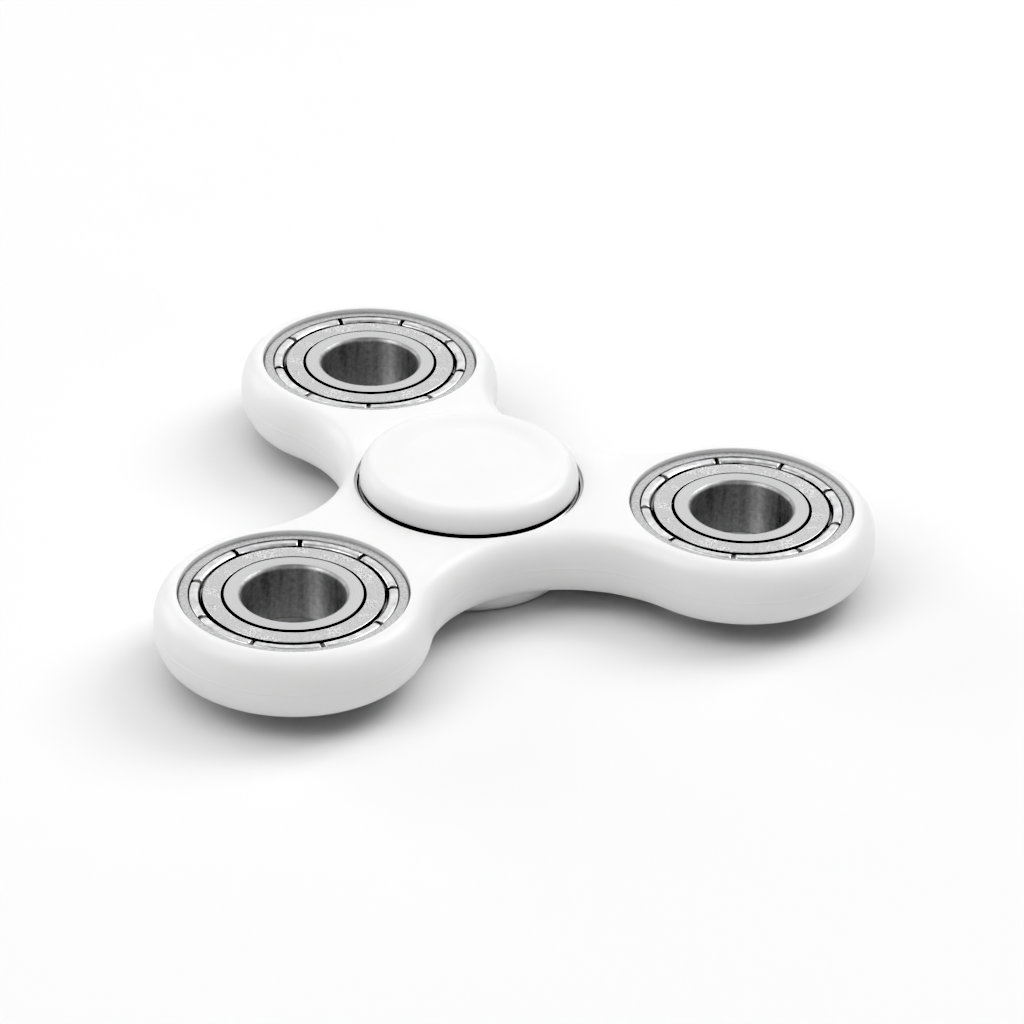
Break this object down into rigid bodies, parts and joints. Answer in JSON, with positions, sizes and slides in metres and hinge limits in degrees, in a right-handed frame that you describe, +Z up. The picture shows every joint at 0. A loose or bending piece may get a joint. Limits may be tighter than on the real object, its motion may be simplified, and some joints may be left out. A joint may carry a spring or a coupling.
{
  "type": "fidget spinner",
  "caption": "Three-lobed moulded body that spins on a shielded ball bearing between two finger caps, with a bearing pressed into each lobe as a weight.",
  "frame": {"origin": "on the spin axis, half way up the moulded body, which is also the middle of all four bearings", "axes": "+Z up along the spin axis; +Y points along lobe 1; lobes 2 and 3 are 120 and 240 degrees further round, anticlockwise seen from above"},
  "size_m": [0.0734, 0.067, 0.0116],
  "materials": {
    "white_plastic": "moulded, smooth satin gloss",
    "ring_steel": "ground bearing steel with fine turning lines",
    "shield_steel": "pressed sheet steel, satin",
    "ball_steel": "polished bearing steel",
    "cage_nylon": "natural nylon"
  },
  "bodies": {
    "hub": {"upper_cap": "white_plastic", "lower_cap": "white_plastic", "hub_inner_ring": "ring_steel"},
    "spinner": {"spinner_body": "white_plastic", "hub_outer_ring": "ring_steel", "hub_upper_shield": "shield_steel", "hub_lower_shield": "shield_steel", "weight_1_outer_ring": "ring_steel", "weight_1_upper_shield": "shield_steel", "weight_1_lower_shield": "shield_steel", "weight_2_outer_ring": "ring_steel", "weight_2_upper_shield": "shield_steel", "weight_2_lower_shield": "shield_steel", "weight_3_outer_ring": "ring_steel", "weight_3_upper_shield": "shield_steel", "weight_3_lower_shield": "shield_steel"},
    "hub_cage": {"hub_cage": "cage_nylon"},
    "hub_ball_1": {"hub_ball_1": "ball_steel"},
    "hub_ball_2": {"hub_ball_2": "ball_steel"},
    "hub_ball_3": {"hub_ball_3": "ball_steel"},
    "hub_ball_4": {"hub_ball_4": "ball_steel"},
    "hub_ball_5": {"hub_ball_5": "ball_steel"},
    "hub_ball_6": {"hub_ball_6": "ball_steel"},
    "hub_ball_7": {"hub_ball_7": "ball_steel"},
    "hub_ball_8": {"hub_ball_8": "ball_steel"},
    "hub_ball_9": {"hub_ball_9": "ball_steel"},
    "weight_1_inner": {"weight_1_inner_ring": "ring_steel"},
    "weight_1_cage": {"weight_1_cage": "cage_nylon"},
    "weight_1_ball_1": {"weight_1_ball_1": "ball_steel"},
    "weight_1_ball_2": {"weight_1_ball_2": "ball_steel"},
    "weight_1_ball_3": {"weight_1_ball_3": "ball_steel"},
    "weight_1_ball_4": {"weight_1_ball_4": "ball_steel"},
    "weight_1_ball_5": {"weight_1_ball_5": "ball_steel"},
    "weight_1_ball_6": {"weight_1_ball_6": "ball_steel"},
    "weight_1_ball_7": {"weight_1_ball_7": "ball_steel"},
    "weight_1_ball_8": {"weight_1_ball_8": "ball_steel"},
    "weight_1_ball_9": {"weight_1_ball_9": "ball_steel"},
    "weight_2_inner": {"weight_2_inner_ring": "ring_steel"},
    "weight_2_cage": {"weight_2_cage": "cage_nylon"},
    "weight_2_ball_1": {"weight_2_ball_1": "ball_steel"},
    "weight_2_ball_2": {"weight_2_ball_2": "ball_steel"},
    "weight_2_ball_3": {"weight_2_ball_3": "ball_steel"},
    "weight_2_ball_4": {"weight_2_ball_4": "ball_steel"},
    "weight_2_ball_5": {"weight_2_ball_5": "ball_steel"},
    "weight_2_ball_6": {"weight_2_ball_6": "ball_steel"},
    "weight_2_ball_7": {"weight_2_ball_7": "ball_steel"},
    "weight_2_ball_8": {"weight_2_ball_8": "ball_steel"},
    "weight_2_ball_9": {"weight_2_ball_9": "ball_steel"},
    "weight_3_inner": {"weight_3_inner_ring": "ring_steel"},
    "weight_3_cage": {"weight_3_cage": "cage_nylon"},
    "weight_3_ball_1": {"weight_3_ball_1": "ball_steel"},
    "weight_3_ball_2": {"weight_3_ball_2": "ball_steel"},
    "weight_3_ball_3": {"weight_3_ball_3": "ball_steel"},
    "weight_3_ball_4": {"weight_3_ball_4": "ball_steel"},
    "weight_3_ball_5": {"weight_3_ball_5": "ball_steel"},
    "weight_3_ball_6": {"weight_3_ball_6": "ball_steel"},
    "weight_3_ball_7": {"weight_3_ball_7": "ball_steel"},
    "weight_3_ball_8": {"weight_3_ball_8": "ball_steel"},
    "weight_3_ball_9": {"weight_3_ball_9": "ball_steel"}
  },
  "joints": [
    {"name": "body_spin", "type": "hinge", "parent": "hub", "child": "spinner", "pos_m": [0, 0, 0], "axis": [0, 0, 1], "continuous": true},
    {"name": "hub_cage_orbit", "type": "hinge", "parent": "hub", "child": "hub_cage", "pos_m": [0, 0, 0], "axis": [0, 0, 1], "continuous": true},
    {"name": "hub_ball_1_roll", "type": "hinge", "parent": "hub_cage", "child": "hub_ball_1", "pos_m": [0, 0.008, 0], "axis": [0, 0, 1], "continuous": true},
    {"name": "hub_ball_2_roll", "type": "hinge", "parent": "hub_cage", "child": "hub_ball_2", "pos_m": [-0.00514, 0.00613, 0], "axis": [0, 0, 1], "continuous": true},
    {"name": "hub_ball_3_roll", "type": "hinge", "parent": "hub_cage", "child": "hub_ball_3", "pos_m": [-0.00788, 0.00139, 0], "axis": [0, 0, 1], "continuous": true},
    {"name": "hub_ball_4_roll", "type": "hinge", "parent": "hub_cage", "child": "hub_ball_4", "pos_m": [-0.00693, -0.004, 0], "axis": [0, 0, 1], "continuous": true},
    {"name": "hub_ball_5_roll", "type": "hinge", "parent": "hub_cage", "child": "hub_ball_5", "pos_m": [-0.00274, -0.00752, 0], "axis": [0, 0, 1], "continuous": true},
    {"name": "hub_ball_6_roll", "type": "hinge", "parent": "hub_cage", "child": "hub_ball_6", "pos_m": [0.00274, -0.00752, 0], "axis": [0, 0, 1], "continuous": true},
    {"name": "hub_ball_7_roll", "type": "hinge", "parent": "hub_cage", "child": "hub_ball_7", "pos_m": [0.00693, -0.004, 0], "axis": [0, 0, 1], "continuous": true},
    {"name": "hub_ball_8_roll", "type": "hinge", "parent": "hub_cage", "child": "hub_ball_8", "pos_m": [0.00788, 0.00139, 0], "axis": [0, 0, 1], "continuous": true},
    {"name": "hub_ball_9_roll", "type": "hinge", "parent": "hub_cage", "child": "hub_ball_9", "pos_m": [0.00514, 0.00613, 0], "axis": [0, 0, 1], "continuous": true},
    {"name": "weight_1_ring_spin", "type": "hinge", "parent": "spinner", "child": "weight_1_inner", "pos_m": [0, 0.027, 0], "axis": [0, 0, 1], "continuous": true},
    {"name": "weight_1_cage_orbit", "type": "hinge", "parent": "spinner", "child": "weight_1_cage", "pos_m": [0, 0.027, 0], "axis": [0, 0, 1], "continuous": true},
    {"name": "weight_1_ball_1_roll", "type": "hinge", "parent": "weight_1_cage", "child": "weight_1_ball_1", "pos_m": [0, 0.035, 0], "axis": [0, 0, 1], "continuous": true},
    {"name": "weight_1_ball_2_roll", "type": "hinge", "parent": "weight_1_cage", "child": "weight_1_ball_2", "pos_m": [-0.00514, 0.03313, 0], "axis": [0, 0, 1], "continuous": true},
    {"name": "weight_1_ball_3_roll", "type": "hinge", "parent": "weight_1_cage", "child": "weight_1_ball_3", "pos_m": [-0.00788, 0.02839, 0], "axis": [0, 0, 1], "continuous": true},
    {"name": "weight_1_ball_4_roll", "type": "hinge", "parent": "weight_1_cage", "child": "weight_1_ball_4", "pos_m": [-0.00693, 0.023, 0], "axis": [0, 0, 1], "continuous": true},
    {"name": "weight_1_ball_5_roll", "type": "hinge", "parent": "weight_1_cage", "child": "weight_1_ball_5", "pos_m": [-0.00274, 0.01948, 0], "axis": [0, 0, 1], "continuous": true},
    {"name": "weight_1_ball_6_roll", "type": "hinge", "parent": "weight_1_cage", "child": "weight_1_ball_6", "pos_m": [0.00274, 0.01948, 0], "axis": [0, 0, 1], "continuous": true},
    {"name": "weight_1_ball_7_roll", "type": "hinge", "parent": "weight_1_cage", "child": "weight_1_ball_7", "pos_m": [0.00693, 0.023, 0], "axis": [0, 0, 1], "continuous": true},
    {"name": "weight_1_ball_8_roll", "type": "hinge", "parent": "weight_1_cage", "child": "weight_1_ball_8", "pos_m": [0.00788, 0.02839, 0], "axis": [0, 0, 1], "continuous": true},
    {"name": "weight_1_ball_9_roll", "type": "hinge", "parent": "weight_1_cage", "child": "weight_1_ball_9", "pos_m": [0.00514, 0.03313, 0], "axis": [0, 0, 1], "continuous": true},
    {"name": "weight_2_ring_spin", "type": "hinge", "parent": "spinner", "child": "weight_2_inner", "pos_m": [-0.02338, -0.0135, 0], "axis": [0, 0, 1], "continuous": true},
    {"name": "weight_2_cage_orbit", "type": "hinge", "parent": "spinner", "child": "weight_2_cage", "pos_m": [-0.02338, -0.0135, 0], "axis": [0, 0, 1], "continuous": true},
    {"name": "weight_2_ball_1_roll", "type": "hinge", "parent": "weight_2_cage", "child": "weight_2_ball_1", "pos_m": [-0.02338, -0.0055, 0], "axis": [0, 0, 1], "continuous": true},
    {"name": "weight_2_ball_2_roll", "type": "hinge", "parent": "weight_2_cage", "child": "weight_2_ball_2", "pos_m": [-0.02852, -0.00737, 0], "axis": [0, 0, 1], "continuous": true},
    {"name": "weight_2_ball_3_roll", "type": "hinge", "parent": "weight_2_cage", "child": "weight_2_ball_3", "pos_m": [-0.03126, -0.01211, 0], "axis": [0, 0, 1], "continuous": true},
    {"name": "weight_2_ball_4_roll", "type": "hinge", "parent": "weight_2_cage", "child": "weight_2_ball_4", "pos_m": [-0.03031, -0.0175, 0], "axis": [0, 0, 1], "continuous": true},
    {"name": "weight_2_ball_5_roll", "type": "hinge", "parent": "weight_2_cage", "child": "weight_2_ball_5", "pos_m": [-0.02612, -0.02102, 0], "axis": [0, 0, 1], "continuous": true},
    {"name": "weight_2_ball_6_roll", "type": "hinge", "parent": "weight_2_cage", "child": "weight_2_ball_6", "pos_m": [-0.02065, -0.02102, 0], "axis": [0, 0, 1], "continuous": true},
    {"name": "weight_2_ball_7_roll", "type": "hinge", "parent": "weight_2_cage", "child": "weight_2_ball_7", "pos_m": [-0.01645, -0.0175, 0], "axis": [0, 0, 1], "continuous": true},
    {"name": "weight_2_ball_8_roll", "type": "hinge", "parent": "weight_2_cage", "child": "weight_2_ball_8", "pos_m": [-0.0155, -0.01211, 0], "axis": [0, 0, 1], "continuous": true},
    {"name": "weight_2_ball_9_roll", "type": "hinge", "parent": "weight_2_cage", "child": "weight_2_ball_9", "pos_m": [-0.01824, -0.00737, 0], "axis": [0, 0, 1], "continuous": true},
    {"name": "weight_3_ring_spin", "type": "hinge", "parent": "spinner", "child": "weight_3_inner", "pos_m": [0.02338, -0.0135, 0], "axis": [0, 0, 1], "continuous": true},
    {"name": "weight_3_cage_orbit", "type": "hinge", "parent": "spinner", "child": "weight_3_cage", "pos_m": [0.02338, -0.0135, 0], "axis": [0, 0, 1], "continuous": true},
    {"name": "weight_3_ball_1_roll", "type": "hinge", "parent": "weight_3_cage", "child": "weight_3_ball_1", "pos_m": [0.02338, -0.0055, 0], "axis": [0, 0, 1], "continuous": true},
    {"name": "weight_3_ball_2_roll", "type": "hinge", "parent": "weight_3_cage", "child": "weight_3_ball_2", "pos_m": [0.01824, -0.00737, 0], "axis": [0, 0, 1], "continuous": true},
    {"name": "weight_3_ball_3_roll", "type": "hinge", "parent": "weight_3_cage", "child": "weight_3_ball_3", "pos_m": [0.0155, -0.01211, 0], "axis": [0, 0, 1], "continuous": true},
    {"name": "weight_3_ball_4_roll", "type": "hinge", "parent": "weight_3_cage", "child": "weight_3_ball_4", "pos_m": [0.01645, -0.0175, 0], "axis": [0, 0, 1], "continuous": true},
    {"name": "weight_3_ball_5_roll", "type": "hinge", "parent": "weight_3_cage", "child": "weight_3_ball_5", "pos_m": [0.02065, -0.02102, 0], "axis": [0, 0, 1], "continuous": true},
    {"name": "weight_3_ball_6_roll", "type": "hinge", "parent": "weight_3_cage", "child": "weight_3_ball_6", "pos_m": [0.02612, -0.02102, 0], "axis": [0, 0, 1], "continuous": true},
    {"name": "weight_3_ball_7_roll", "type": "hinge", "parent": "weight_3_cage", "child": "weight_3_ball_7", "pos_m": [0.03031, -0.0175, 0], "axis": [0, 0, 1], "continuous": true},
    {"name": "weight_3_ball_8_roll", "type": "hinge", "parent": "weight_3_cage", "child": "weight_3_ball_8", "pos_m": [0.03126, -0.01211, 0], "axis": [0, 0, 1], "continuous": true},
    {"name": "weight_3_ball_9_roll", "type": "hinge", "parent": "weight_3_cage", "child": "weight_3_ball_9", "pos_m": [0.02852, -0.00737, 0], "axis": [0, 0, 1], "continuous": true}
  ],
  "couplings": [
    {"joint": "hub_cage_orbit", "follows": "body_spin", "ratio": 0.59922},
    {"joint": "hub_ball_1_roll", "follows": "body_spin", "ratio": 2.4205},
    {"joint": "hub_ball_2_roll", "follows": "body_spin", "ratio": 2.4205},
    {"joint": "hub_ball_3_roll", "follows": "body_spin", "ratio": 2.4205},
    {"joint": "hub_ball_4_roll", "follows": "body_spin", "ratio": 2.4205},
    {"joint": "hub_ball_5_roll", "follows": "body_spin", "ratio": 2.4205},
    {"joint": "hub_ball_6_roll", "follows": "body_spin", "ratio": 2.4205},
    {"joint": "hub_ball_7_roll", "follows": "body_spin", "ratio": 2.4205},
    {"joint": "hub_ball_8_roll", "follows": "body_spin", "ratio": 2.4205},
    {"joint": "hub_ball_9_roll", "follows": "body_spin", "ratio": 2.4205},
    {"joint": "weight_1_cage_orbit", "follows": "weight_1_ring_spin", "ratio": 0.40078},
    {"joint": "weight_1_ball_1_roll", "follows": "weight_1_ring_spin", "ratio": -2.4205},
    {"joint": "weight_1_ball_2_roll", "follows": "weight_1_ring_spin", "ratio": -2.4205},
    {"joint": "weight_1_ball_3_roll", "follows": "weight_1_ring_spin", "ratio": -2.4205},
    {"joint": "weight_1_ball_4_roll", "follows": "weight_1_ring_spin", "ratio": -2.4205},
    {"joint": "weight_1_ball_5_roll", "follows": "weight_1_ring_spin", "ratio": -2.4205},
    {"joint": "weight_1_ball_6_roll", "follows": "weight_1_ring_spin", "ratio": -2.4205},
    {"joint": "weight_1_ball_7_roll", "follows": "weight_1_ring_spin", "ratio": -2.4205},
    {"joint": "weight_1_ball_8_roll", "follows": "weight_1_ring_spin", "ratio": -2.4205},
    {"joint": "weight_1_ball_9_roll", "follows": "weight_1_ring_spin", "ratio": -2.4205},
    {"joint": "weight_2_cage_orbit", "follows": "weight_2_ring_spin", "ratio": 0.40078},
    {"joint": "weight_2_ball_1_roll", "follows": "weight_2_ring_spin", "ratio": -2.4205},
    {"joint": "weight_2_ball_2_roll", "follows": "weight_2_ring_spin", "ratio": -2.4205},
    {"joint": "weight_2_ball_3_roll", "follows": "weight_2_ring_spin", "ratio": -2.4205},
    {"joint": "weight_2_ball_4_roll", "follows": "weight_2_ring_spin", "ratio": -2.4205},
    {"joint": "weight_2_ball_5_roll", "follows": "weight_2_ring_spin", "ratio": -2.4205},
    {"joint": "weight_2_ball_6_roll", "follows": "weight_2_ring_spin", "ratio": -2.4205},
    {"joint": "weight_2_ball_7_roll", "follows": "weight_2_ring_spin", "ratio": -2.4205},
    {"joint": "weight_2_ball_8_roll", "follows": "weight_2_ring_spin", "ratio": -2.4205},
    {"joint": "weight_2_ball_9_roll", "follows": "weight_2_ring_spin", "ratio": -2.4205},
    {"joint": "weight_3_cage_orbit", "follows": "weight_3_ring_spin", "ratio": 0.40078},
    {"joint": "weight_3_ball_1_roll", "follows": "weight_3_ring_spin", "ratio": -2.4205},
    {"joint": "weight_3_ball_2_roll", "follows": "weight_3_ring_spin", "ratio": -2.4205},
    {"joint": "weight_3_ball_3_roll", "follows": "weight_3_ring_spin", "ratio": -2.4205},
    {"joint": "weight_3_ball_4_roll", "follows": "weight_3_ring_spin", "ratio": -2.4205},
    {"joint": "weight_3_ball_5_roll", "follows": "weight_3_ring_spin", "ratio": -2.4205},
    {"joint": "weight_3_ball_6_roll", "follows": "weight_3_ring_spin", "ratio": -2.4205},
    {"joint": "weight_3_ball_7_roll", "follows": "weight_3_ring_spin", "ratio": -2.4205},
    {"joint": "weight_3_ball_8_roll", "follows": "weight_3_ring_spin", "ratio": -2.4205},
    {"joint": "weight_3_ball_9_roll", "follows": "weight_3_ring_spin", "ratio": -2.4205}
  ]
}
